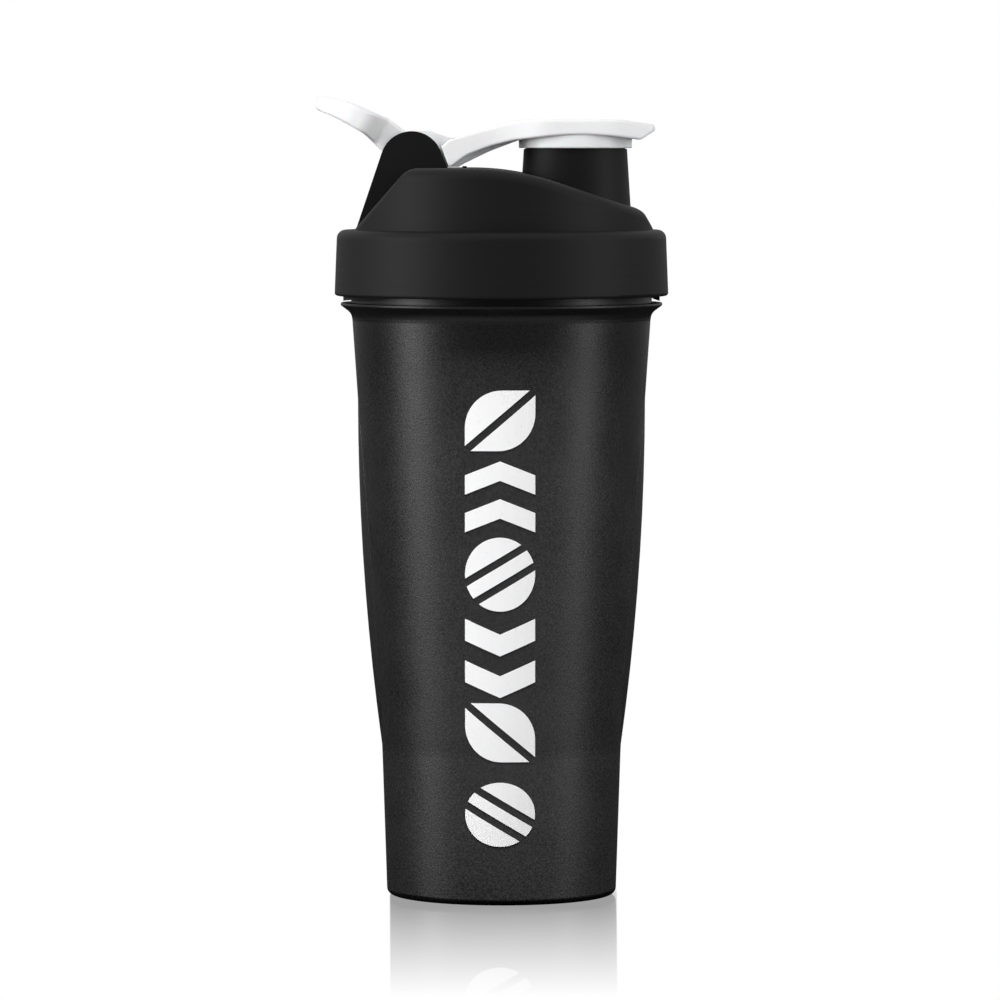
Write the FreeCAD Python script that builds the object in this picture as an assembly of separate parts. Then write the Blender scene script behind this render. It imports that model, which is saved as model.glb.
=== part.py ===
# Protein shaker bottle: a tapered cup, a screw lid with a spout, a flip cap and a finger loop on one hinge pin,
# a gasket, a spout seal and a loose wire ball. Millimetres, +Z up.
# The origin is the centre of the base on the axis of the cup. The spout is on the +X side.
import FreeCAD, Part
import math
import os

V = FreeCAD.Vector
UP = V(0, 0, 1)
HINGE_AXIS = V(0, 1, 0)

# cup: the wall from the base up to the collar
base_radius = 33.9           # at the plane it stands on
base_corner = 2.0            # rounding of the bottom edge
knee_height = 43.85          # where the lower wall gives way to the wider taper
knee_step = 1.45             # how much wider the cup is there than at its base
knee_round = 60.0
shoulder_height = 170.15     # top of the taper, under the collar
shoulder_set = 0.35          # how much narrower the top of the taper is than the neck
shoulder_round = 4.0
cup_wall = 1.9
floor_thickness = 2.2
floor_corner = 5.0           # rounding inside, where the wall meets the floor
foot_recess = 1.8            # hollow under the floor
foot_width = 5.6             # ring that the cup stands on
foot_corner = 1.2

# cup: collar and neck
collar_overhang = 3.1        # how far the collar stands out past the neck
collar_rise = 5.2            # from the shoulder to the collar's upper face
collar_cove_rise = 2.1       # where its lower side begins to flare
collar_cove_round = 3.0
collar_edge = 0.8            # height of the collar's outer edge
collar_edge_round = 0.3
neck_radius = 44.4
neck_wall = 2.2
neck_height = 17.6           # from the collar's upper face to the rim
rim_round = 0.6

# cup: the two side grips
grip_top_drop = 23.3         # from the shoulder down to where a grip rises out of the taper
grip_bottom_rise = 0.5       # from the knee up to where it ends
grip_bulge = 1.75            # how far it stands out half way along
grip_radius = 14.5           # roundness across the grip

# thread, two starts, right hand
thread_lead = 12.0
thread_starts = 2
thread_depth = 1.6
thread_root_width = 2.2
thread_crest_width = 1.2
thread_bite = 0.4            # how far a ridge is sunk into its wall
thread_run = 10.8            # height climbed by one ridge
thread_lift = 2.4            # from the collar's upper face to the first ridge
thread_radial_gap = 0.35
thread_axial_gap = 0.30

# lid: skirt and ledge
skirt_wall = 2.95            # at the bottom edge
skirt_draft = 0.75           # how much narrower it is at the top
skirt_gap = 2.0              # between the collar and the skirt
skirt_top_round = 2.6
skirt_bottom_round = 0.9
skirt_mouth_round = 0.4
lid_wall = 2.2
bung_gap = 0.5               # between the cup's bore and the ring that enters it
bung_wall = 1.8
bung_depth = 4.4
bung_lead_round = 0.8
gasket_thickness = 1.6
gasket_gap = 0.05            # between the gasket and the rim
gasket_overhang = 1.0        # how far it reaches past the neck
gasket_side_gap = 0.3        # between the gasket and the bung

# lid: dome, a round boss cut by a side profile
dome_set = 4.4               # how far the boss stands back from the skirt's bottom edge
dome_draft = 1.0             # how much narrower the boss is at the top
dome_height = 18.2           # above the ledge
dome_edge_round = 3.2
dome_root = 1.0              # how far the dome is sunk into the ledge
dome_back_foot_set = 1.6     # from the boss's edge to the foot of the sloping back
dome_back_run = 16.1         # from that foot forward to the flat top
dome_back_round = 6.0
dome_flat_end = -17.8        # from the spout's axis to where the top begins to fall
dome_front_fall = 18.4       # degrees
dome_front_set = 3.5         # from the boss's edge back to where the fall turns down
dome_crown_round = 80.0
dome_front_round = 5.0
pip_set = 15.5               # from the pin forward to a small pip on the flat top, under the cap's arm
pip_radius = 0.7
pip_height = 0.55
pip_round = 0.3

# spout
spout_set = 23.1             # from the boss's front edge back to the spout's axis
spout_tip_radius = 15.25
spout_taper = 1.5            # how much wider the spout is at the ledge
spout_rise = 23.8            # from the ledge to the step under the tip
spout_tip_height = 2.8
spout_step = 0.5
spout_wall = 1.85

# hinge
hinge_set = 18.5             # from the boss's back edge forward to the pin
hinge_rise = 21.3            # above the ledge
pin_radius = 2.0
pin_end_chamfer = 0.4
pin_run_gap = 0.08           # pin in the hub and the knuckles
pin_cover = 1.2              # wall left over the pin in the front ear
ear_radius = 9.2
ear_drop = 1.5               # how far the ear's round top is centred below the pin
ear_inner = 9.0              # half the distance between the ears
ear_thickness = 3.0
ear_back_foot = -16.4        # from the pin to where an ear's back edge reaches the ledge
ear_front_foot = 10.5        # from the pin to where its front edge reaches the flat top
hub_radius = 7.8
hub_half_width = 4.5
side_gap = 0.3               # between hub, knuckles and ears
sweep_gap = 0.6              # between turning pieces and what they pass over

# flip cap
slab_over_rim = 5.8          # from the spout's rim to the cap's top
slab_overlap = 2.35          # how far the slab stands out past the spout, each side
slab_belly = 3.8             # thickness over the spout
arm_half_width = 12.0
arm_root_top = 5.2           # above the pin, where the arm leaves the ear
arm_root_lift = 0.35         # between the arm's root and the flat top of the dome
cap_tip_reach = 8.15         # from the spout's tip to the cap's lip
cap_tip_half_width = 11.0
cap_edge_round = 0.7
cap_collar_wall = 1.5
cap_collar_gap = 0.45
cap_collar_lift = 0.25       # above the step of the spout
cap_collar_round = 0.4
plug_gap = 0.45
plug_wall = 1.6
plug_depth = 3.0             # below the rim of the spout
seal_thickness = 1.2
seal_gap = 0.05

slab_root_depth = 6.0        # thickness where the slab meets the arm
slab_root_round = 20.0
slab_fall_start = 13.0       # from the spout's axis to where the top begins to fall towards the lip
slab_fall_round = 30.0
slab_belly_round = 80.0
slab_belly_set = 2.0         # how far in front of the spout's axis the slab is thinnest
# the lip as (distance back from its tip, depth below the cap's top, rounding)
lip_line = [(4.4, 5.9, 1.2), (0.0, 3.1, 0.8), (0.5, 1.3, 0.9)]
# the plan outline, from the spout's axis
arm_flare_start = 22.0       # back to where the arm begins to widen
arm_flare_end = 10.0         # back to where it is as wide as the slab
arm_flare_round = 30.0
slab_side_end = 11.1         # forward to where the sides draw in towards the lip
slab_side_round = 14.0
lip_corner = 5.0
# the arm's underside: it leaves the root at one corner and bends up to the slab at another
arm_root_corner = (16.2, 0.7, 12.0)  # distance from the pin, height from the pin, rounding
arm_bend = (6.6, 3.6, 40.0)          # distance behind the slab's back edge, height from the pin, rounding
arm_root_end = 11.6          # from the pin to the corner under the arm
arm_root_round = 0.8
arm_shoulder_run = 11.0      # from the pin to the corner on top of the arm's root
arm_shoulder_round = 1.2
# the middle rib of the arm hangs lower: its underside, and the top that runs into the hub
rib_root_end = 13.8
rib_root_round = 0.4
rib_cover = 2.0              # how far the rib stays under the cap's top
rib_root_corner = (15.6, -1.7, 0.8)
rib_bend = (7.6, 1.9, 40.0)
rib_top = [(15.0, 6.0, 0), (11.4, 5.7, 2), (4.9, 7.8, 3)]

# carry loop
loop_tilt = 30.0             # degrees above level, as stored
loop_length = 32.8           # from the hinge to the tip
loop_half_width = 15.0
loop_bar = 4.6
loop_flare_start = 11.3      # distance from the hinge where the arms widen past the ears
loop_flare_end = 16.0
loop_flare_round = 5.0
loop_gap_round = 4.0
loop_elbow_round = 1.5
loop_gap_lead = 0.6          # how much nearer the hinge the opening widens than the arms do
loop_tip_corner = 13.0       # rounding of the outline's corners at the tip
# its top and underside lines as (distance from the pin, height from the loop's middle line, rounding)
loop_top_line = [(0.0, 4.8, 0), (11.3, 6.45, 14), (24.4, 4.9, 40), (32.8, 2.3, 1.7)]
loop_under_line = [(32.3, -1.9, 1.7), (24.4, -0.95, 40), (15.6, -0.9, 12), (10.0, -2.4, 8), (0.0, -5.0, 0)]
loop_edge_round = 0.9

# wire ball
ball_radius = 23.0           # to the middle of the wire
wire_radius = 1.0
ball_turns = 8
ball_points_per_turn = 14
ball_pole_angle = 12.0       # degrees from the pole to each end of the wire
ball_floor_gap = 0.1

# heights and radii worked out from the sizes above
collar_top = shoulder_height + collar_rise
rim = collar_top + neck_height
ceiling = rim + gasket_gap + gasket_thickness
ledge = ceiling + lid_wall
skirt_bottom = collar_top + skirt_gap
dome_top = ledge + dome_height
spout_step_height = ledge + spout_rise
spout_rim = spout_step_height + spout_tip_height
slab_top = spout_rim + slab_over_rim
grip_top_height = shoulder_height - grip_top_drop
grip_bottom_height = knee_height + grip_bottom_rise
knee_radius = base_radius + knee_step
shoulder_radius = neck_radius - shoulder_set
collar_radius = neck_radius + collar_overhang
neck_bore = neck_radius - neck_wall
bung_radius = neck_bore - bung_gap
bung_bore = bung_radius - bung_wall
skirt_bore = neck_radius + thread_depth + thread_radial_gap
skirt_radius = skirt_bore + skirt_wall
dome_radius = skirt_radius - dome_set
dome_back_foot = dome_back_foot_set - dome_radius
dome_back_top = dome_back_foot + dome_back_run
spout_x = dome_radius - spout_set
spout_bore_radius = spout_tip_radius - spout_step - spout_wall
hinge = V(hinge_set - dome_radius, 0, ledge + hinge_rise)
pip_x = hinge.x + pip_set
ear_outer = ear_inner + ear_thickness
collar_bore = spout_tip_radius - spout_step + cap_collar_gap
plug_radius = spout_bore_radius - plug_gap
slab_half_width = spout_tip_radius + slab_overlap
cap_tip_x = spout_x + spout_tip_radius + cap_tip_reach
first_ridge = collar_top + thread_lift + thread_root_width / 2
BEYOND = 200.0               # further out than anything here, for cutting
SUNK = 1.0                   # overlap of shapes that are joined or cut
SEAM = 0.4                   # an edge that reaches less than this along the bottle is not rounded
THIN = 0.1                   # less than any wall or gap, to tell one level from the next


# A closed outline from corners (a, b, rounding), with each rounding as a tangent arc. Where two roundings
# don't fit on the side between them, both are made smaller.
def rounded_edges(corners, place):
    points = [place(a, b) for a, b, rounding in corners]
    following = points[1:] + points[:1]
    turns, reaches = [], []
    for index, point in enumerate(points):
        before = (points[index - 1] - point).normalize()
        after = (following[index] - point).normalize()
        half_angle = before.getAngle(after) / 2
        turns.append((before, after, half_angle))
        reaches.append(corners[index][2] / math.tan(half_angle))
    shares = []
    for point, other, reach, other_reach in zip(points, following, reaches, reaches[1:] + reaches[:1]):
        shares.append(min(1.0, point.distanceToPoint(other) / max(reach + other_reach, THIN)))
    starts, ends, middles = [], [], []
    for index, (before, after, half_angle) in enumerate(turns):
        reach = reaches[index] * min(shares[index - 1], shares[index])
        rounding = reach * math.tan(half_angle)
        middle_way = (before + after).normalize() if rounding else UP
        starts.append(points[index] + before * reach)
        ends.append(points[index] + after * reach)
        middles.append(points[index] + middle_way * (rounding / math.sin(half_angle) - rounding))
    edges = []
    for index, (start, middle, end) in enumerate(zip(starts, middles, ends)):
        if corners[index][2]:
            edges.append(Part.Arc(start, middle, end).toShape())
        next_start = starts[(index + 1) % len(starts)]
        if end.distanceToPoint(next_start) > 1e-6:
            edges.append(Part.LineSegment(end, next_start).toShape())
    return edges


def outline_face(corners, place):
    return Part.Face(Part.Wire(rounded_edges(corners, place)))


# corners are (radius, height, rounding)
def turned(corners):
    face = outline_face(corners, lambda a, b: V(a, 0, b))
    return face.revolve(V(0, 0, 0), UP, 360)


# corners are (x, z, rounding), extruded across the bottle from y_low to y_high
def side_prism(corners, y_low, y_high):
    face = outline_face(corners, lambda a, b: V(a, y_low, b))
    return face.extrude(V(0, y_high - y_low, 0))


# corners are (x, y, rounding), extruded upwards
def plan_prism(corners, z_low, z_high):
    face = outline_face(corners, lambda a, b: V(a, b, z_low))
    return face.extrude(V(0, 0, z_high - z_low))


# the other half of a symmetrical plan outline
def mirrored(half):
    return half + [(x, -y, rounding) for x, y, rounding in reversed(half)]


def rod(radius, start, end):
    return Part.makeCylinder(radius, end.distanceToPoint(start), start, end - start)


def cross_rod(radius, y_low, y_high):
    return rod(radius, V(hinge.x, y_low, hinge.z), V(hinge.x, y_high, hinge.z))


def ring(outer, inner, z_low, z_high, x=0.0):
    low, high = V(x, 0, z_low), V(x, 0, z_high)
    return rod(outer, low, high).cut(rod(inner, low, high))


# radius of the plain taper at a height between the knee and the shoulder
def taper_radius(height):
    share = (height - knee_height) / (shoulder_height - knee_height)
    return knee_radius + share * (shoulder_radius - knee_radius)


# One helical ridge per start. outward is 1 for ridges on the neck and -1 for ridges inside the skirt.
def thread_ridges(wall_radius, outward, first_height):
    ridges = []
    sunk = wall_radius - outward * thread_bite
    crest = wall_radius + outward * thread_depth
    sunk_width = thread_root_width + (thread_root_width - thread_crest_width) * thread_bite / thread_depth
    section = Part.makePolygon([
        V(sunk, 0, -sunk_width / 2), V(crest, 0, -thread_crest_width / 2),
        V(crest, 0, thread_crest_width / 2), V(sunk, 0, sunk_width / 2), V(sunk, 0, -sunk_width / 2)])
    path = Part.Wire(Part.makeHelix(thread_lead, thread_run, wall_radius))
    for start in range(thread_starts):
        ridge = path.makePipeShell([section], True, True)
        ridge.translate(V(0, 0, first_height))
        ridge.rotate(V(0, 0, 0), UP, start * 360 / thread_starts)
        ridges.append(ridge)
    return ridges


# A grip is a slender ring segment whose outer line runs from the taper, bulges and comes back to it.
def side_grips():
    top = V(taper_radius(grip_top_height), 0, grip_top_height)
    bottom = V(taper_radius(grip_bottom_height), 0, grip_bottom_height)
    chord = top - bottom
    outward = V(chord.z, 0, -chord.x).normalize()
    arc_radius = (chord.Length ** 2 / 4 + grip_bulge ** 2) / (2 * grip_bulge)
    centre = (top + bottom) / 2 + outward * (grip_bulge - arc_radius)
    band = Part.makeTorus(arc_radius - grip_radius, grip_radius, centre, HINGE_AXIS)
    reach = arc_radius + grip_radius
    corner = V(bottom.x - grip_radius, -grip_radius, bottom.z - grip_radius)
    slot = Part.makeBox(2 * grip_radius, 2 * grip_radius, chord.Length + 2 * grip_radius, corner)
    grip = band.common(slot)
    other = grip.mirror(V(0, 0, 0), V(1, 0, 0))
    return [grip, other]


def make_cup_body():
    outer = turned([
        (0, 0, 0), (base_radius, 0, base_corner), (knee_radius, knee_height, knee_round),
        (shoulder_radius, shoulder_height, shoulder_round),
        (neck_radius, shoulder_height + collar_cove_rise, collar_cove_round),
        (collar_radius, collar_top - collar_edge, collar_edge_round),
        (collar_radius, collar_top, collar_edge_round),
        (neck_radius, collar_top, 0), (neck_radius, rim, rim_round), (0, rim, 0)])
    floor_top = foot_recess + floor_thickness
    hollow = turned([
        (0, floor_top, 0), (base_radius - cup_wall, floor_top, floor_corner),
        (knee_radius - cup_wall, knee_height, knee_round),
        (neck_bore - collar_edge_round, shoulder_height, shoulder_round),
        (neck_bore, collar_top, shoulder_round), (neck_bore, rim + SUNK, 0), (0, rim + SUNK, 0)])
    recess_radius = base_radius - foot_width
    recess = turned([
        (0, -SUNK, 0), (recess_radius, -SUNK, 0), (recess_radius, foot_recess, foot_corner), (0, foot_recess, 0)])
    body = outer.fuse(side_grips())
    body = body.cut(hollow).cut(recess)
    return body.fuse(thread_ridges(neck_radius, 1, first_ridge))


# corners of the dome's side profile, drawn inwards by a wall thickness for its hollow
def dome_profile(inset):
    fall = math.tan(math.radians(dome_front_fall))
    flat_end = spout_x + dome_flat_end
    turn_x = dome_radius - dome_front_set
    turn_z = dome_top - (turn_x - flat_end) * fall
    line = [V(dome_back_foot, 0, ledge), V(dome_back_top, 0, dome_top), V(flat_end, 0, dome_top),
            V(turn_x, 0, turn_z), V(dome_radius, 0, ledge)]
    roundings = [dome_back_round, dome_crown_round, dome_front_round]
    inner = inner_line(line, inset)
    low = ledge - dome_root - inset
    feet = [along_line(inner[1], inner[0], low), along_line(inner[-2], inner[-1], low)]
    middle = [(point.x, point.z, max(rounding - inset, SUNK)) for point, rounding in zip(inner[1:-1], roundings)]
    return [(feet[0].x, low, 0)] + middle + [(feet[1].x, low, 0)]


# Moves each side of an open line to its right by a distance and joins the sides up again.
def inner_line(line, distance):
    sides = []
    for start, end in zip(line, line[1:]):
        way = (end - start).normalize()
        shift = V(way.z, 0, -way.x) * distance
        sides.append((start + shift, way))
    points = [sides[0][0]]
    for (first, first_way), (second, second_way) in zip(sides, sides[1:]):
        across = first_way.x * second_way.z - first_way.z * second_way.x
        reach = ((second.x - first.x) * second_way.z - (second.z - first.z) * second_way.x) / across
        points.append(first + first_way * reach)
    last_start, last_way = sides[-1]
    points.append(last_start + last_way * (line[-1] - line[-2]).Length)
    return points


# the point at a height on the straight line through two points
def along_line(first, second, height):
    return first + (second - first) * ((height - first.z) / (second.z - first.z))


def make_dome():
    foot = V(0, 0, ledge - dome_root)
    boss = Part.makeCone(dome_radius, dome_radius - dome_draft, dome_height + dome_root, foot, UP)
    boss.rotate(foot, UP, 180)
    dome = boss.common(side_prism(dome_profile(0), -BEYOND, BEYOND))
    upper = [edge for edge in dome.Edges if edge.BoundBox.ZMax > ledge and edge.BoundBox.YLength > THIN
             and abs(edge.CenterOfMass.y) > SUNK]
    return dome.makeFillet(dome_edge_round, upper)


# An ear, or, with some growth, the space that others keep clear of it.
def make_ear(y_low, y_high, growth=0.0):
    centre = ear_centre()
    eye = rod(ear_radius + growth, V(centre.x, y_low, centre.z), V(centre.x, y_high, centre.z))
    return side_prism(ear_corners(growth), y_low, y_high).fuse(eye)


def ear_centre():
    return hinge - V(0, 0, ear_drop)


# The ear's edges are tangents to its round top, which run down to the ledge and to the flat top.
def ear_corners(growth):
    radius = ear_radius + growth
    centre = ear_centre()

    def touch(foot, side):
        away = foot - centre
        direction = math.atan2(away.z, away.x) + math.acos(radius / away.Length) * side
        return (centre.x + radius * math.cos(direction), centre.z + radius * math.sin(direction), 0)

    low = ledge - dome_root
    back_foot = V(hinge.x + ear_back_foot - growth, 0, ledge)
    front_foot = V(hinge.x + ear_front_foot + growth, 0, dome_top)
    return [(back_foot.x, low, 0), (back_foot.x, ledge, 0), touch(back_foot, -1), (centre.x, centre.z, 0),
            touch(front_foot, 1), (front_foot.x, dome_top, 0), (front_foot.x, dome_top - dome_edge_round, 0),
            (centre.x, low, 0)]


def make_lid_shell():
    skirt = turned([
        (bung_bore, ledge, 0), (bung_bore, ceiling - bung_depth, skirt_mouth_round),
        (bung_radius, ceiling - bung_depth, bung_lead_round), (bung_radius, ceiling, 0),
        (skirt_bore, ceiling, skirt_mouth_round), (skirt_bore, skirt_bottom, skirt_mouth_round),
        (skirt_radius, skirt_bottom, skirt_bottom_round), (skirt_radius - skirt_draft, ledge, skirt_top_round)])
    ears = [make_ear(ear_inner, ear_outer), make_ear(-ear_outer, -ear_inner)]
    shell = make_dome().fuse(make_spout())
    shell = shell.fuse(ears + [make_pip()])
    shell = shell.fuse(skirt)
    shell = shell.cut(make_dome_hollow())
    shell = shell.cut(cross_rod(hub_radius + sweep_gap, -ear_inner, ear_inner))
    shell = shell.cut(rod(spout_bore_radius, V(spout_x, 0, ledge - lid_wall), V(spout_x, 0, spout_rim + SUNK)))
    shell = shell.cut(cross_rod(pin_radius, pin_cover - ear_outer, ear_outer + SUNK))
    return shell.fuse(thread_ridges(skirt_bore, -1, first_ridge - ridge_step()))


# Height from a ridge of the cup down to the ridge of the lid that bears on it.
def ridge_step():
    overlap_share = (thread_depth - thread_radial_gap) / thread_depth
    width_at_crest = thread_crest_width + (thread_root_width - thread_crest_width) * overlap_share
    return (thread_crest_width + width_at_crest) / 2 + thread_axial_gap


def make_spout():
    root = V(spout_x, 0, ledge)
    stem = Part.makeCone(spout_tip_radius + spout_taper, spout_tip_radius, spout_rise, root, UP)
    tip = rod(spout_tip_radius - spout_step, V(spout_x, 0, spout_step_height - SUNK), V(spout_x, 0, spout_rim))
    return stem.fuse(tip)


def make_pip():
    pip = rod(pip_radius, V(pip_x, 0, dome_top - SUNK), V(pip_x, 0, dome_top + pip_height))
    top_edge = [edge for edge in pip.Edges if edge.BoundBox.ZMin > dome_top]
    return pip.makeFillet(pip_round, top_edge)


def make_dome_hollow():
    room = rod(dome_radius - dome_draft - lid_wall, V(0, 0, ledge), V(0, 0, dome_top))
    mouth = rod(bung_bore, V(0, 0, ceiling - SUNK), V(0, 0, dome_top))
    hollow = room.fuse(mouth).common(side_prism(dome_profile(lid_wall), -BEYOND, BEYOND))
    return hollow.cut(cross_rod(hub_radius + sweep_gap + lid_wall, -ear_outer, ear_outer))


def make_flip_cap():
    cap = make_cap_slab()
    cap = cap.cut(make_ear(-BEYOND, BEYOND, sweep_gap))
    cap = cap.fuse([cross_rod(hub_radius, -hub_half_width, hub_half_width), make_cap_rib(), make_cap_collar()])
    seat = seal_seat()
    below = spout_step_height - SUNK
    cap = cap.cut(ring(collar_bore, plug_radius, below, seat, spout_x))
    cap = cap.cut(rod(plug_radius - plug_wall, V(spout_x, 0, below), V(spout_x, 0, seat)))
    return cap.cut(cross_rod(pin_radius + pin_run_gap, -ear_inner, ear_inner))


def seal_seat():
    return spout_rim + seal_gap + seal_thickness


# corners given from the pin, as corners in the side view
def from_pin(corners):
    return [(hinge.x + a, hinge.z + b, rounding) for a, b, rounding in corners]


# The underside of the arm or of its rib as corners in the side view: near the root, and at the bend.
def arm_line(root_corner, bend):
    behind, height, rounding = bend
    slab_back = spout_x - slab_half_width - hinge.x
    return from_pin([root_corner, (slab_back - behind, height, rounding)])


# corners given from the spout's axis and down from the cap's top, as corners in the side view
def from_cap_top(corners):
    return [(spout_x + a, slab_top - b, rounding) for a, b, rounding in corners]


# The slab and the arm's two sides: a side outline cut to a plan outline, with its rim rounded.
def make_cap_slab():
    inside_ear = hinge.x + ear_radius - 3 * SUNK
    bottom = dome_top + arm_root_lift
    lip = cap_tip_x - spout_x
    underside = [(inside_ear, bottom, 0), (hinge.x + arm_root_end, bottom, arm_root_round)]
    slab = from_cap_top(
        [(-slab_half_width, slab_root_depth, slab_root_round), (slab_belly_set, slab_belly, slab_belly_round)]
        + [(lip - back, depth, rounding) for back, depth, rounding in lip_line]
        + [(slab_fall_start, 0, slab_fall_round), (SUNK - slab_half_width, 0, slab_root_round)])
    root_top = from_pin([
        (arm_shoulder_run, arm_root_top, arm_shoulder_round), (ear_radius - 3 * SUNK, arm_root_top - 4 * SUNK, 0)])
    half_plan = [
        (inside_ear - SUNK, arm_half_width, 0), (spout_x - arm_flare_start, arm_half_width, arm_flare_round),
        (spout_x - arm_flare_end, slab_half_width, slab_side_round),
        (spout_x + slab_side_end, slab_half_width, slab_side_round),
        (cap_tip_x + SUNK, cap_tip_half_width, lip_corner)]
    outline = underside + arm_line(arm_root_corner, arm_bend) + slab + root_top
    slab = side_prism(outline, -BEYOND, BEYOND).common(plan_prism(mirrored(half_plan), 0, 2 * BEYOND))
    rim_edges = [edge for edge in slab.Edges if edge.BoundBox.XLength > SEAM
                 and edge.BoundBox.XMax > hinge.x + ear_radius and abs(edge.CenterOfMass.y) > SUNK]
    return slab.makeFillet(cap_edge_round, rim_edges)


# The middle of the arm, which runs into the hub between the loop's knuckles.
def make_cap_rib():
    bottom = dome_top + arm_root_lift
    under_slab = slab_half_width - SUNK
    corners = [(hinge.x + hub_radius / 2, bottom, 0), (hinge.x + rib_root_end, bottom, rib_root_round)]
    corners += arm_line(rib_root_corner, rib_bend)
    corners += from_cap_top([(-under_slab, slab_root_depth, 0), (-under_slab, rib_cover, 0)])
    corners += from_pin(rib_top + [(0, hub_radius, 0), (0, 0, 0)])
    return side_prism(corners, -hub_half_width, hub_half_width)


def make_cap_collar():
    low = spout_step_height + cap_collar_lift
    high = slab_top - slab_belly + 1.5 * SUNK
    collar = rod(collar_bore + cap_collar_wall, V(spout_x, 0, low), V(spout_x, 0, high))
    lower_edge = [edge for edge in collar.Edges if edge.BoundBox.ZMax < low + THIN]
    plug = rod(plug_radius, V(spout_x, 0, spout_rim - plug_depth), V(spout_x, 0, high))
    return collar.makeFillet(cap_collar_round, lower_edge).fuse(plug)


def make_spout_seal():
    return ring(collar_bore - seal_gap, plug_radius + seal_gap, spout_rim + seal_gap, seal_seat(), spout_x)


# The loop is drawn lying level, pointing away from the spout, and is tilted about the hinge.
def make_carry_loop():
    def from_loop(line):
        return [(hinge.x - distance, height, rounding) for distance, height, rounding in line]

    lines = loop_top_line + loop_under_line
    profile = from_loop([(away, hinge.z + height, rounding) for away, height, rounding in lines])
    knuckle_inner = hub_half_width + side_gap
    knuckle_outer = ear_inner - side_gap
    inner_half_width = loop_half_width - loop_bar
    half_plan = from_loop([
        (0, knuckle_outer, 0), (loop_flare_start, knuckle_outer, loop_elbow_round),
        (loop_flare_end, loop_half_width, loop_flare_round), (loop_length, loop_half_width, loop_tip_corner)])
    half_gap = from_loop([
        (-BEYOND / 4, knuckle_inner, 0), (loop_flare_start - loop_gap_lead, knuckle_inner, loop_gap_round),
        (loop_flare_end, inner_half_width, loop_gap_round),
        (loop_length - loop_bar, inner_half_width, loop_tip_corner - loop_bar)])
    bail = side_prism(profile, -BEYOND, BEYOND).common(plan_prism(mirrored(half_plan), 0, 2 * BEYOND))
    bail = bail.cut(plan_prism(mirrored(half_gap), 0, 2 * BEYOND))
    edges = [edge for edge in bail.Edges if edge.BoundBox.XLength > SEAM
             and edge.BoundBox.XMin < hinge.x - hub_radius - SUNK]
    bail = bail.makeFillet(loop_edge_round, edges)
    for side in (-1, 1):
        bail = bail.fuse(cross_rod(hub_radius, side * knuckle_inner, side * knuckle_outer))
    bail = bail.cut(cross_rod(pin_radius + pin_run_gap, -ear_outer, ear_outer))
    bail.rotate(hinge, HINGE_AXIS, loop_tilt)
    return bail


# One wire wound into a ball from pole to pole, lying on the floor of the cup.
def make_whisk_ball():
    centre = V(0, 0, foot_recess + floor_thickness + ball_floor_gap + ball_radius + wire_radius)
    steps = ball_points_per_turn * ball_turns
    pole = math.radians(ball_pole_angle)
    points = []
    for step in range(steps + 1):
        polar = pole + (math.pi - 2 * pole) * step / steps
        around = 2 * math.pi * ball_turns * step / steps
        points.append(centre + V(math.sin(polar) * math.cos(around), math.sin(polar) * math.sin(around),
                                 math.cos(polar)) * ball_radius)
    curve = Part.BSplineCurve()
    curve.interpolate(points)
    path = Part.Wire([curve.toShape()])
    section = Part.Wire([Part.makeCircle(wire_radius, points[0], curve.tangent(0)[0])])
    return path.makePipeShell([section], True, True)


def make_hinge_pin():
    pin = cross_rod(pin_radius, pin_cover - ear_outer, ear_outer)
    ends = [edge for edge in pin.Edges if edge.BoundBox.YLength < THIN]
    return pin.makeChamfer(pin_end_chamfer, ends)


def make_lid_gasket():
    return ring(neck_radius + gasket_overhang, bung_radius + gasket_side_gap, rim + gasket_gap, ceiling)


parts = {
    "cup_body": make_cup_body,
    "lid_shell": make_lid_shell,
    "lid_gasket": make_lid_gasket,
    "hinge_pin": make_hinge_pin,
    "flip_cap": make_flip_cap,
    "spout_seal": make_spout_seal,
    "carry_loop": make_carry_loop,
    "whisk_ball": make_whisk_ball,
}


def main():
    os.makedirs("parts", exist_ok=True)
    for name, make in parts.items():
        shape = make()
        shape.exportStep("parts/" + name + ".step")
        print(name, len(shape.Solids), round(shape.Volume), shape.isValid())


main()
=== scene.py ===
import bmesh
import bpy
import math
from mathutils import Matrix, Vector


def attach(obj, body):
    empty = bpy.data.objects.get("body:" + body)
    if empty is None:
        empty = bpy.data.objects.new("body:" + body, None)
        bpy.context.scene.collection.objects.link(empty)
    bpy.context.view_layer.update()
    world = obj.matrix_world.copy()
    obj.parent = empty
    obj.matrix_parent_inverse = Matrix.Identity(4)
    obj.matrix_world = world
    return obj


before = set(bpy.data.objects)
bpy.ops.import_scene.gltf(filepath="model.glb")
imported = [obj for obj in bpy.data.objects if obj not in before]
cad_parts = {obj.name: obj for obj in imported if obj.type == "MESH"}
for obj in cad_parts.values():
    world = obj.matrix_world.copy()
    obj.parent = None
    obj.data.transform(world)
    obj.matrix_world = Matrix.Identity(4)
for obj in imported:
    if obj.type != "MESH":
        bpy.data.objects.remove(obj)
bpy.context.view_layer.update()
mm = 0.001
scene = bpy.context.scene
scene.view_settings.view_transform = "Standard"  # a plain sRGB picture, so that white stays white
print("frame loaded")


# colours, nodes and materials

noiseLow, noiseHigh = 0.3, 0.7  # nearly all values of a noise texture lie between these


def srgb(hexColour):
    channels = [int(hexColour[i:i + 2], 16) / 255 for i in (1, 3, 5)]
    return [c / 12.92 if c <= 0.04045 else ((c + 0.055) / 1.055) ** 2.4 for c in channels] + [1.0]


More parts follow.
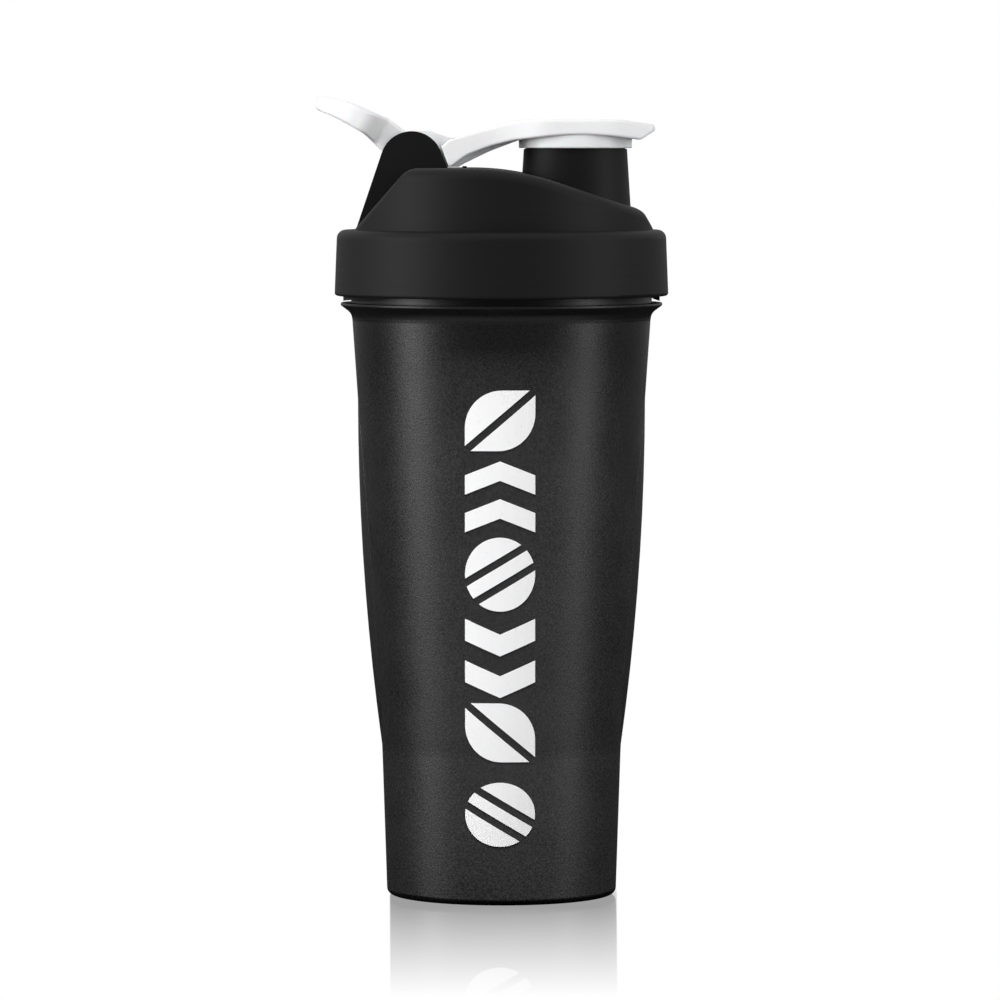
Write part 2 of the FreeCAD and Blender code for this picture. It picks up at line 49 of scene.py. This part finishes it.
# adds one node: settings are its properties, links its inputs by name or number, each as a socket, a node
# (which stands for its first output) or a value
def addNode(tree, kind, settings=None, **links):
    node = tree.nodes.new(kind)
    for name, value in (settings or {}).items():
        setattr(node, name, value)
    for name, value in links.items():
        key = int(name[1:]) if name[1:].isdigit() else name.replace("_", " ")
        source = value.outputs[0] if isinstance(value, bpy.types.Node) else value
        if isinstance(source, bpy.types.NodeSocket):
            tree.links.new(source, node.inputs[key])
        else:
            node.inputs[key].default_value = source
    return node


def newMaterial(name):
    material = bpy.data.materials.new(name)
    material.use_nodes = True
    tree = material.node_tree
    tree.nodes.clear()
    place = addNode(tree, "ShaderNodeTexCoord").outputs["Object"]
    return material, tree, place


def finishMaterial(tree, **links):
    shader = addNode(tree, "ShaderNodeBsdfPrincipled", **links)
    addNode(tree, "ShaderNodeOutputMaterial", Surface=shader)


# frosted polypropylene: the mould is spark-eroded, so it has a fine even grain and a wide soft sheen
frostedPlastic = {
    "colour": "#131314", "roughness": 0.37, "ior": 1.49,
    "grain": 0.60,        # mm, coarser than the real 0.15 mm so that it shows
    "grainDepth": 0.045,  # mm
    "cloud": 14.0,        # mm, slow change of gloss from the flow of the melt
    "glossSpread": 0.03, "fleck": 0.05, "tint": (0.3, 1.7),
    "edge": 170.95, "edgeFade": 0.1,  # mm, height where the frosting stops under the collar
    "smoothRoughness": 0.42,
    # the taper of the wall as (height, radius); what stands proud of it is a side grip, moulded smooth
    "knee": (43.85, 35.35), "shoulder": (170.15, 44.05), "gripTop": 160.0, "gripFade": 1.0,
    # mm, how far the grip's edge has risen where it starts and ends, and how bold it is
    "gripStart": 0.02, "gripEdge": 0.14, "gripBead": 0.30,
}


def frostedPolypropylene():
    s = frostedPlastic
    material, tree, place = newMaterial("frostedPolypropylene")
    height = addNode(tree, "ShaderNodeSeparateXYZ", Vector=place).outputs["Z"]
    level = addNode(tree, "ShaderNodeVectorMath", {"operation": "MULTIPLY"}, _0=place, _1=(1, 1, 0))
    radius = addNode(tree, "ShaderNodeVectorMath", {"operation": "LENGTH"}, _0=level).outputs["Value"]
    (kneeZ, kneeR), (shoulderZ, shoulderR) = s["knee"], s["shoulder"]
    taper = addNode(tree, "ShaderNodeMapRange", Value=height, From_Min=kneeZ * mm, From_Max=shoulderZ * mm,
                    To_Min=kneeR * mm, To_Max=shoulderR * mm)
    proud = addNode(tree, "ShaderNodeMath", {"operation": "SUBTRACT"}, _0=radius, _1=taper)
    risen = addNode(tree, "ShaderNodeMapRange", {"interpolation_type": "SMOOTHSTEP"}, Value=proud,
                    From_Min=s["gripStart"] * mm, From_Max=s["gripEdge"] * mm, To_Min=0.0, To_Max=1.0)
    below = addNode(tree, "ShaderNodeMapRange", Value=height, From_Min=s["gripTop"] * mm,
                    From_Max=(s["gripTop"] + s["gripFade"]) * mm, To_Min=1.0, To_Max=0.0)
    grip = addNode(tree, "ShaderNodeMath", {"operation": "MULTIPLY"}, _0=risen, _1=below)
    under = addNode(tree, "ShaderNodeMapRange", Value=height, From_Min=(s["edge"] - s["edgeFade"]) * mm,
                    From_Max=(s["edge"] + s["edgeFade"]) * mm, To_Min=1.0, To_Max=0.0)
    frosted = addNode(tree, "ShaderNodeMath", {"operation": "SUBTRACT", "use_clamp": True}, _0=under, _1=grip)
    grain = addNode(tree, "ShaderNodeTexNoise", Vector=place, Scale=1 / (s["grain"] * mm), Detail=3.0,
                    Roughness=0.6).outputs["Fac"]
    cloud = addNode(tree, "ShaderNodeTexNoise", Vector=place, Scale=1 / (s["cloud"] * mm),
                    Detail=2.0).outputs["Fac"]
    slow = addNode(tree, "ShaderNodeMapRange", Value=cloud, From_Min=noiseLow, From_Max=noiseHigh,
                   To_Min=s["roughness"] - s["glossSpread"], To_Max=s["roughness"] + s["glossSpread"])
    fleck = addNode(tree, "ShaderNodeMapRange", Value=grain, From_Min=noiseLow, From_Max=noiseHigh,
                    To_Min=-s["fleck"], To_Max=s["fleck"])
    rough = addNode(tree, "ShaderNodeMath", {"operation": "ADD"}, _0=slow, _1=fleck)
    gloss = addNode(tree, "ShaderNodeMix", {"data_type": "FLOAT"}, Factor=frosted, A=s["smoothRoughness"],
                    B=rough)
    edge = addNode(tree, "ShaderNodeBump", Strength=1.0, Distance=s["gripBead"] * mm, Height=grip)
    bump = addNode(tree, "ShaderNodeBump", Strength=frosted, Distance=s["grainDepth"] * mm, Height=grain,
                   Normal=edge)
    tint = addNode(tree, "ShaderNodeMapRange", Value=grain, From_Min=noiseLow, From_Max=noiseHigh,
                   To_Min=s["tint"][0], To_Max=s["tint"][1])
    base = addNode(tree, "ShaderNodeVectorMath", {"operation": "SCALE"}, _0=srgb(s["colour"])[:3], Scale=tint)
    finishMaterial(tree, Base_Color=base, Roughness=gloss, IOR=s["ior"], Normal=bump)
    return material


# matt polypropylene of the lid: bead-blasted mould, smoother than the cup, with faint sink lines on the skirt
mattPlastic = {
    "colour": "#161617", "roughness": 0.60, "glossSpread": 0.03, "ior": 1.49, "gloss": 0.30,
    "grain": 0.30, "grainDepth": 0.010,    # mm, grain coarser than the real one so that it shows
    "sinkPitch": 3.0, "sinkDepth": 0.020,  # mm
    "patch": 18.0, "patchRange": (0.45, 0.62),  # mm, and the noise values where the sink lines come in
    "waveLength": 0.314,  # a wave texture at scale 1 repeats at this distance
}


def mattPolypropylene():
    s = mattPlastic
    material, tree, place = newMaterial("mattPolypropylene")
    grain = addNode(tree, "ShaderNodeTexNoise", Vector=place, Scale=1 / (s["grain"] * mm),
                    Detail=2.0).outputs["Fac"]
    sink = addNode(tree, "ShaderNodeTexWave", {"bands_direction": "Z"}, Vector=place,
                   Scale=s["waveLength"] / (s["sinkPitch"] * mm), Distortion=1.2, Detail=2.0,
                   Detail_Scale=0.02).outputs["Fac"]
    patches = addNode(tree, "ShaderNodeTexNoise", Vector=place, Scale=1 / (s["patch"] * mm),
                      Detail=1.0).outputs["Fac"]
    depth = addNode(tree, "ShaderNodeMapRange", Value=patches, From_Min=s["patchRange"][0],
                    From_Max=s["patchRange"][1], To_Min=0.0, To_Max=1.0)
    fine = addNode(tree, "ShaderNodeBump", Strength=1.0, Distance=s["grainDepth"] * mm, Height=grain)
    bump = addNode(tree, "ShaderNodeBump", Strength=depth, Distance=s["sinkDepth"] * mm, Height=sink,
                   Normal=fine)
    gloss = addNode(tree, "ShaderNodeMapRange", Value=grain, From_Min=noiseLow, From_Max=noiseHigh,
                    To_Min=s["roughness"] - s["glossSpread"], To_Max=s["roughness"] + s["glossSpread"])
    finishMaterial(tree, Base_Color=srgb(s["colour"]), Roughness=gloss, IOR=s["ior"],
                   Specular_IOR_Level=s["gloss"], Normal=bump)
    return material


# satin polypropylene, white: polished mould, a little light goes in and comes out softly
whitePlastic = {
    "colour": "#F3F4F5", "roughness": 0.34, "glossSpread": 0.03, "ior": 1.49,
    "glow": 0.15, "glowDepth": 2.0,  # share, and mm
    "flow": 5.0, "flowDepth": 0.02,  # mm, faint unevenness from the flow of the melt
    "edge": 0.55,                    # mm, softened edges
}


def satinPolypropylene():
    s = whitePlastic
    material, tree, place = newMaterial("satinPolypropylene")
    soft = addNode(tree, "ShaderNodeBevel", Radius=s["edge"] * mm)
    flow = addNode(tree, "ShaderNodeTexNoise", Vector=place, Scale=1 / (s["flow"] * mm),
                   Detail=2.0).outputs["Fac"]
    bump = addNode(tree, "ShaderNodeBump", Strength=1.0, Distance=s["flowDepth"] * mm, Height=flow,
                   Normal=soft)
    gloss = addNode(tree, "ShaderNodeMapRange", Value=flow, From_Min=noiseLow, From_Max=noiseHigh,
                    To_Min=s["roughness"] - s["glossSpread"], To_Max=s["roughness"] + s["glossSpread"])
    finishMaterial(tree, Base_Color=srgb(s["colour"]), Roughness=gloss, IOR=s["ior"],
                   Subsurface_Weight=s["glow"], Subsurface_Scale=s["glowDepth"] * mm, Normal=bump)
    return material


# moulded silicone: milky grey, dull and a little see-through
silicone = {
    "colour": "#C9CBCD", "roughness": (0.45, 0.62), "ior": 1.41,
    "grain": 1.2, "glow": 0.3, "glowDepth": 1.5,  # mm, share, mm
}


def mouldedSilicone():
    s = silicone
    material, tree, place = newMaterial("mouldedSilicone")
    grain = addNode(tree, "ShaderNodeTexNoise", Vector=place, Scale=1 / (s["grain"] * mm),
                    Detail=2.0).outputs["Fac"]
    gloss = addNode(tree, "ShaderNodeMapRange", Value=grain, From_Min=noiseLow, From_Max=noiseHigh,
                    To_Min=s["roughness"][0], To_Max=s["roughness"][1])
    finishMaterial(tree, Base_Color=srgb(s["colour"]), Roughness=gloss, IOR=s["ior"],
                   Subsurface_Weight=s["glow"], Subsurface_Scale=s["glowDepth"] * mm)
    return material


# stainless steel wire: drawn and tumbled, so it is bright with fine die lines
steelWire = {
    "colour": "#C8C9CB", "roughness": (0.14, 0.26),
    "line": 0.25, "lineDepth": 0.004,  # mm, lines coarser than real ones so that they show
}


def drawnSteel():
    s = steelWire
    material, tree, place = newMaterial("drawnStainlessSteel")
    lines = addNode(tree, "ShaderNodeTexNoise", Vector=place, Scale=1 / (s["line"] * mm),
                    Detail=2.0).outputs["Fac"]
    gloss = addNode(tree, "ShaderNodeMapRange", Value=lines, From_Min=noiseLow, From_Max=noiseHigh,
                    To_Min=s["roughness"][0], To_Max=s["roughness"][1])
    bump = addNode(tree, "ShaderNodeBump", Strength=0.5, Distance=s["lineDepth"] * mm, Height=lines)
    finishMaterial(tree, Base_Color=srgb(s["colour"]), Metallic=1.0, Roughness=gloss, Normal=bump)
    return material


# screen ink: a thin opaque white film that sits on the frosting and lets its peaks show as specks
ink = {
    "colour": "#FBFBFC", "speckColour": "#C4C7CA", "roughness": 0.55, "ior": 1.48,
    "speck": 0.5, "speckDepth": 0.01,  # mm, specks coarser than real ones so that they show
    "speckRange": (0.24, 0.36),        # noise values from all speck to all ink
}


def screenInk():
    s = ink
    material, tree, place = newMaterial("screenPrintedInk")
    specks = addNode(tree, "ShaderNodeTexNoise", Vector=place, Scale=1 / (s["speck"] * mm), Detail=3.0,
                     Roughness=0.7).outputs["Fac"]
    share = addNode(tree, "ShaderNodeMapRange", Value=specks, From_Min=s["speckRange"][0],
                    From_Max=s["speckRange"][1], To_Min=0.0, To_Max=1.0)
    tone = addNode(tree, "ShaderNodeMix", {"data_type": "RGBA"}, _0=share, _6=srgb(s["speckColour"]),
                   _7=srgb(s["colour"])).outputs[2]
    bump = addNode(tree, "ShaderNodeBump", Strength=0.5, Distance=s["speckDepth"] * mm, Height=specks)
    finishMaterial(tree, Base_Color=tone, Roughness=s["roughness"], IOR=s["ior"], Normal=bump)
    return material


finishes = {
    "cup_body": frostedPolypropylene(),
    "lid_shell": mattPolypropylene(),
    "flip_cap": satinPolypropylene(),
    "lid_gasket": mouldedSilicone(),
    "whisk_ball": drawnSteel(),
}
finishes["carry_loop"] = finishes["flip_cap"]
finishes["spout_seal"] = finishes["lid_gasket"]
finishes["hinge_pin"] = finishes["whisk_ball"]
for node, material in finishes.items():
    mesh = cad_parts[node].data
    mesh.materials.clear()
    mesh.materials.append(material)
print("materials done")


# the print: a column of six bold shapes, made of leaves, chevrons and banded discs

printColumn = {
    "centre": -0.43, "width": 20.6,  # mm, from the front's middle line
    # bottom and height of each shape in mm, from the top one down
    "spans": [(133.3, 17.6), (109.6, 20.7), (86.5, 21.6), (61.2, 23.1), (42.3, 17.3), (17.5, 18.8)],
    "slit": 2.2, "film": 0.05, "lift": 0.05,
    "leafRound": 0.62,     # radius of a leaf's round corners, as a share of its smaller side
    "chevronSlit": 1.15,   # times the slit
    "chevronThick": 0.62,  # share of half the shape's height
    "bandLevel": 0.17, "bandLean": 0.6,  # how far the slits stand from the middle, and their slope
    "cell": 0.8, "tallCell": 3.2,        # mm, width and height of the film's cells
    "arcStep": 6,                        # degrees
    "outside": 0.2,                      # m, a distance from the axis that is outside the cup
    "joined": 1e-5, "tooShort": 1e-4,    # mm, for cutting and for edges that are dropped
}


# points of an arc from one angle to another, in degrees
def arcPoints(cx, cz, radius, start, stop):
    steps = round(abs(stop - start) / printColumn["arcStep"])
    angles = [math.radians(start + (stop - start) * k / steps) for k in range(steps + 1)]
    return [(cx + radius * math.cos(a), cz + radius * math.sin(a)) for a in angles]


# each shape is a list of outlines in a box of the given width and height; none overlaps another

# a leaf: square at two opposite corners, round at the other two, and split along its diagonal
def leafShape(wide, tall, lean):
    s = printColumn
    r = s["leafRound"] * min(wide, tall)
    outline = [(0, 0), *arcPoints(wide - r, r, r, -90, 0), (wide, tall), *arcPoints(r, tall - r, r, 90, 180)]
    gap = s["slit"] / 2 * math.hypot(wide, tall) / wide
    halves = [cutOutline(outline, (0, gap), (wide, tall + gap)),
              cutOutline(outline, (wide, tall - gap), (0, -gap))]
    return halves if lean > 0 else [[(wide - x, z) for x, z in reversed(half)] for half in halves]


# two thick chevrons, one over the other
def chevronShape(wide, tall, point):
    s = printColumn
    gap = s["slit"] * s["chevronSlit"]
    half = (tall - gap) / 2
    thick = half * s["chevronThick"]
    drop = half - thick + gap / 4
    shapes = []
    for low in (0, tall - thick - drop):
        band = [(0, low), (wide / 2, low + drop), (wide, low),
                (wide, low + thick), (wide / 2, low + thick + drop), (0, low + thick)]
        shapes += [band[:2] + band[4:], band[1:5]]
    return shapes if point > 0 else [[(x, tall - z) for x, z in reversed(band)] for band in shapes]


# an oval cut into three slanting bands
def bandedShape(wide, tall, way):
    s = printColumn
    lean = way * s["bandLean"]
    outline = [(wide / 2 + x, tall / 2 + z * tall / wide) for x, z in arcPoints(0, 0, wide / 2, 0, 360)[:-1]]
    half = s["slit"] / 2 * math.hypot(1, lean)
    levels = [tall / 2 + side * tall * s["bandLevel"] for side in (-1, 1)]
    below, above = -2 * tall, 3 * tall  # well outside the oval
    shapes = []
    lows = [below, *[level + half for level in levels]]
    highs = [*[level - half for level in levels], above]
    for low, high in zip(lows, highs):
        band = cutOutline(outline, (0, low - lean * wide / 2), (wide, low + lean * wide / 2))
        shapes.append(cutOutline(band, (wide, high + lean * wide / 2), (0, high - lean * wide / 2)))
    return shapes


# the part of an outline on the left of a line
def cutOutline(outline, start, end):
    ways = (end[0] - start[0], end[1] - start[1])
    side = [ways[0] * (z - start[1]) - ways[1] * (x - start[0]) for x, z in outline]
    kept = []
    for index, point in enumerate(outline):
        following = (index + 1) % len(outline)
        if side[index] >= 0:
            kept.append(point)
        if side[index] * side[following] < 0:
            share = side[index] / (side[index] - side[following])
            kept.append(tuple(a + (b - a) * share for a, b in zip(point, outline[following])))
    return kept


# distance of the cup's outer wall from the axis, at an angle round from the front and at a height
def wallRadius(turn, height):
    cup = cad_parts["cup_body"]
    away = Vector((math.sin(turn), -math.cos(turn), 0))
    place = cup.ray_cast(away * printColumn["outside"] + Vector((0, 0, height)), -away)[1]
    return math.hypot(place.x, place.y)


def makePrint():
    s = printColumn
    wide = s["width"]
    talls = [tall for low, tall in s["spans"]]
    drawn = [leafShape(wide, talls[0], 1), chevronShape(wide, talls[1], 1), bandedShape(wide, talls[2], 1),
             chevronShape(wide, talls[3], -1), leafShape(wide, talls[4], -1), bandedShape(wide, talls[5], -1)]
    shape = bmesh.new()
    for (low, tall), outlines in zip(s["spans"], drawn):
        # cut into cells so that the film follows the round wall
        columns = [(x * s["cell"] - wide / 2, 0, 0) for x in range(1, int(wide / s["cell"]) + 1)]
        rows = [(0, 0, low + z * s["tallCell"]) for z in range(1, int(tall / s["tallCell"]) + 1)]
        cuts = [(column, (1, 0, 0)) for column in columns] + [(row, (0, 0, 1)) for row in rows]
        for outline in outlines:
            block = bmesh.new()
            block.faces.new([block.verts.new((x - wide / 2, 0, z + low)) for x, z in outline])
            bmesh.ops.triangulate(block, faces=block.faces[:])
            for place, across in cuts:
                everything = block.verts[:] + block.edges[:] + block.faces[:]
                bmesh.ops.bisect_plane(block, geom=everything, dist=s["joined"], plane_co=place,
                                       plane_no=across)
            bmesh.ops.dissolve_degenerate(block, dist=s["tooShort"], edges=block.edges[:])
            mesh = bpy.data.meshes.new("block")
            block.to_mesh(mesh)
            block.free()
            shape.from_mesh(mesh)
            bpy.data.meshes.remove(mesh)
    for vertex in shape.verts:
        height = vertex.co.z * mm
        turn = (vertex.co.x + s["centre"]) * mm / wallRadius(0, height)
        radius = wallRadius(turn, height) + s["lift"] * mm
        vertex.co = Vector((radius * math.sin(turn), -radius * math.cos(turn), height))
    mesh = bpy.data.meshes.new("front_print")
    shape.to_mesh(mesh)
    shape.free()
    piece = bpy.data.objects.new("front_print", mesh)
    scene.collection.objects.link(piece)
    mesh.materials.append(screenInk())
    film = piece.modifiers.new("film", "SOLIDIFY")
    film.thickness = s["film"] * mm
    film.offset = 1.0
    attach(piece, "cup")


makePrint()
print("print done")


# stage: a white surround for the camera, two tall softboxes, fills, and a bright ring of floor in front

# the camera stands two metres off, about level with the top of the cap, and looks slightly down
lens = {
    "distance": 1.95, "height": 0.22485, "side": -0.44 * mm,  # m
    "pitch": 3.17,                                            # degrees
    "millimetres": 237.6, "sensor": 36.0,
    "nearest": 0.05,                                          # m
}

studio = {
    "white": 1.0,
    # what the bottle sees of the surround: level in front, level behind, and overhead
    "front": 0.13, "behind": 0.60, "above": 0.80, "levelFade": (-0.2, 0.9), "aboveFade": (0.1, 0.9),
    "floorRadius": 4.0, "floorSides": 96, "floorDrop": 0.2 * mm,
    "patch": 0.40, "patchDark": 0.04, "ringIn": (0.08, 0.17), "ringOut": (0.45, 0.75),
    "ringBack": 0.05, "ringFade": (-0.10, 0.02),
    "mirror": 0.655, "mirrorStart": -0.034, "mirrorEnd": -0.235, "mirrorBack": 0.02, "mirrorRoughness": 0.02,
    # half the strip's width for each metre of distance from the camera, and the softness of its sides
    "mirrorHalf": 0.01717, "mirrorFade": 0.0002,
    "mirrorSide": 0.55 * mm,
}


def makeWorld():
    s = studio
    world = bpy.data.worlds.new("whiteSurround")
    scene.world = world
    world.use_nodes = True
    tree = world.node_tree
    tree.nodes.clear()
    seen = addNode(tree, "ShaderNodeLightPath").outputs["Is Camera Ray"]
    way = addNode(tree, "ShaderNodeTexCoord").outputs["Generated"]
    ways = addNode(tree, "ShaderNodeSeparateXYZ", Vector=way).outputs
    level = addNode(tree, "ShaderNodeMapRange", {"interpolation_type": "SMOOTHSTEP"}, Value=ways["Y"],
                    From_Min=s["levelFade"][0], From_Max=s["levelFade"][1],
                    To_Min=s["front"], To_Max=s["behind"])
    high = addNode(tree, "ShaderNodeMapRange", {"interpolation_type": "SMOOTHSTEP"}, Value=ways["Z"],
                   From_Min=s["aboveFade"][0], From_Max=s["aboveFade"][1], To_Min=0.0, To_Max=1.0)
    soft = addNode(tree, "ShaderNodeMix", {"data_type": "FLOAT"}, Factor=high, A=level, B=s["above"])
    strength = addNode(tree, "ShaderNodeMix", {"data_type": "FLOAT"}, Factor=seen, A=soft, B=s["white"])
    glow = addNode(tree, "ShaderNodeBackground", Color=srgb("#FFFFFF"), Strength=strength)
    addNode(tree, "ShaderNodeOutputWorld", Surface=glow)


def makeFloor():
    s = studio
    mesh = bpy.data.meshes.new("floor")
    shape = bmesh.new()
    bmesh.ops.create_circle(shape, cap_ends=True, radius=s["floorRadius"], segments=s["floorSides"])
    shape.to_mesh(mesh)
    shape.free()
    floor = bpy.data.objects.new("floor", mesh)
    scene.collection.objects.link(floor)
    floor.location.z = -s["floorDrop"]
    material, tree, place = newMaterial("polishedWhiteAcrylic")
    ways = addNode(tree, "ShaderNodeSeparateXYZ", Vector=place).outputs
    reach = addNode(tree, "ShaderNodeVectorMath", {"operation": "LENGTH"}, _0=place).outputs["Value"]
    seen = addNode(tree, "ShaderNodeLightPath").outputs["Is Camera Ray"]
    # the mirror image is held to a strip that narrows towards the camera, and fades that way too
    along = addNode(tree, "ShaderNodeMapRange", Value=ways["Y"], From_Min=s["mirrorEnd"],
                    From_Max=s["mirrorStart"], To_Min=0.0, To_Max=s["mirror"])
    under = addNode(tree, "ShaderNodeMapRange", Value=ways["Y"], From_Min=0.0, From_Max=s["mirrorBack"],
                    To_Min=1.0, To_Max=0.0)
    depth = addNode(tree, "ShaderNodeMath", {"operation": "ADD"}, _0=ways["Y"], _1=lens["distance"])
    side = addNode(tree, "ShaderNodeMath", {"operation": "SUBTRACT"}, _0=ways["X"], _1=s["mirrorSide"])
    off = addNode(tree, "ShaderNodeMath", {"operation": "ABSOLUTE"}, _0=side)
    slope = addNode(tree, "ShaderNodeMath", {"operation": "DIVIDE"}, _0=off, _1=depth)
    inside = addNode(tree, "ShaderNodeMapRange", Value=slope, From_Min=s["mirrorHalf"],
                     From_Max=s["mirrorHalf"] + s["mirrorFade"], To_Min=1.0, To_Max=0.0)
    share = seen
    for part in (along, inside, under):
        share = addNode(tree, "ShaderNodeMath", {"operation": "MULTIPLY"}, _0=share, _1=part)
    # what the bottle sees: a bright ring on the camera's side, dark close to the base and far away
    far = addNode(tree, "ShaderNodeMapRange", {"interpolation_type": "SMOOTHSTEP"}, Value=reach,
                  From_Min=s["ringOut"][0], From_Max=s["ringOut"][1],
                  To_Min=s["patch"], To_Max=s["patchDark"])
    close = addNode(tree, "ShaderNodeMapRange", {"interpolation_type": "SMOOTHSTEP"}, Value=reach,
                    From_Min=s["ringIn"][0], From_Max=s["ringIn"][1], To_Min=0.0, To_Max=1.0)
    front = addNode(tree, "ShaderNodeMapRange", {"interpolation_type": "SMOOTHSTEP"}, Value=ways["Y"],
                    From_Min=s["ringFade"][0], From_Max=s["ringFade"][1], To_Min=1.0, To_Max=s["ringBack"])
    patch = far
    for part in (front, close):
        patch = addNode(tree, "ShaderNodeMath", {"operation": "MULTIPLY"}, _0=patch, _1=part)
    strength = addNode(tree, "ShaderNodeMix", {"data_type": "FLOAT"}, Factor=seen, A=patch, B=s["white"])
    glow = addNode(tree, "ShaderNodeEmission", Strength=strength)
    mirror = addNode(tree, "ShaderNodeBsdfGlossy", Roughness=s["mirrorRoughness"])
    mixed = addNode(tree, "ShaderNodeMixShader", Fac=share, _1=glow, _2=mirror)
    addNode(tree, "ShaderNodeOutputMaterial", Surface=mixed)
    mesh.materials.append(material)


# some lights are for one finish only
whiteParts = bpy.data.collections.new("whiteParts")
for node in ("flip_cap", "carry_loop"):
    whiteParts.objects.link(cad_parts[node])
whiteParts.objects.link(bpy.data.objects["front_print"])
frostedParts = bpy.data.collections.new("frostedParts")
frostedParts.objects.link(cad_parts["cup_body"])

# degrees round from the camera; distance, height and size in metres; radiance; the height that it is
# aimed at; and the parts that it lights, where that isn't everything
softboxes = {
    "leftBox": (-72, 1.1, 0.25, (0.42, 0.9), 6.2, 0.12, None),
    "rightBox": (68, 1.2, 0.25, (0.36, 0.9), 4.6, 0.12, None),
    "whiteFillLeft": (-45, 1.6, 0.8, (1.4, 1.2), 2.0, 0.20, whiteParts),
    "whiteFillRight": (30, 1.6, 0.5, (1.2, 1.0), 1.6, 0.22, whiteParts),
    "whiteFillLow": (-45, 1.2, 0.03, (1.2, 0.5), 1.5, 0.22, whiteParts),
    "cupTop": (0, 0.24, 1.2, (0.45, 0.36), 420.0, 0.10, frostedParts),
}


def makeLights():
    for name, (azimuth, distance, height, size, radiance, aim, only) in softboxes.items():
        light = bpy.data.lights.new(name, "AREA")
        light.shape = "RECTANGLE"
        light.size, light.size_y = size
        light.energy = radiance * math.pi * size[0] * size[1]
        lamp = bpy.data.objects.new(name, light)
        scene.collection.objects.link(lamp)
        turn = math.radians(azimuth)
        lamp.location = (distance * math.sin(turn), -distance * math.cos(turn), height)
        lamp.rotation_euler = (Vector((0, 0, aim)) - lamp.location).to_track_quat("-Z", "Y").to_euler()
        lamp.visible_camera = False
        if only:
            lamp.light_linking.receiver_collection = only


def makeCamera():
    s = lens
    data = bpy.data.cameras.new("camera")
    data.lens = s["millimetres"]
    data.sensor_width = s["sensor"]
    data.clip_start = s["nearest"]
    camera = bpy.data.objects.new("camera", data)
    scene.collection.objects.link(camera)
    camera.location = (s["side"], -s["distance"], s["height"])
    camera.rotation_euler = (math.radians(90 - s["pitch"]), 0, 0)
    scene.camera = camera


makeWorld()
makeFloor()
makeLights()
makeCamera()
print("stage done")
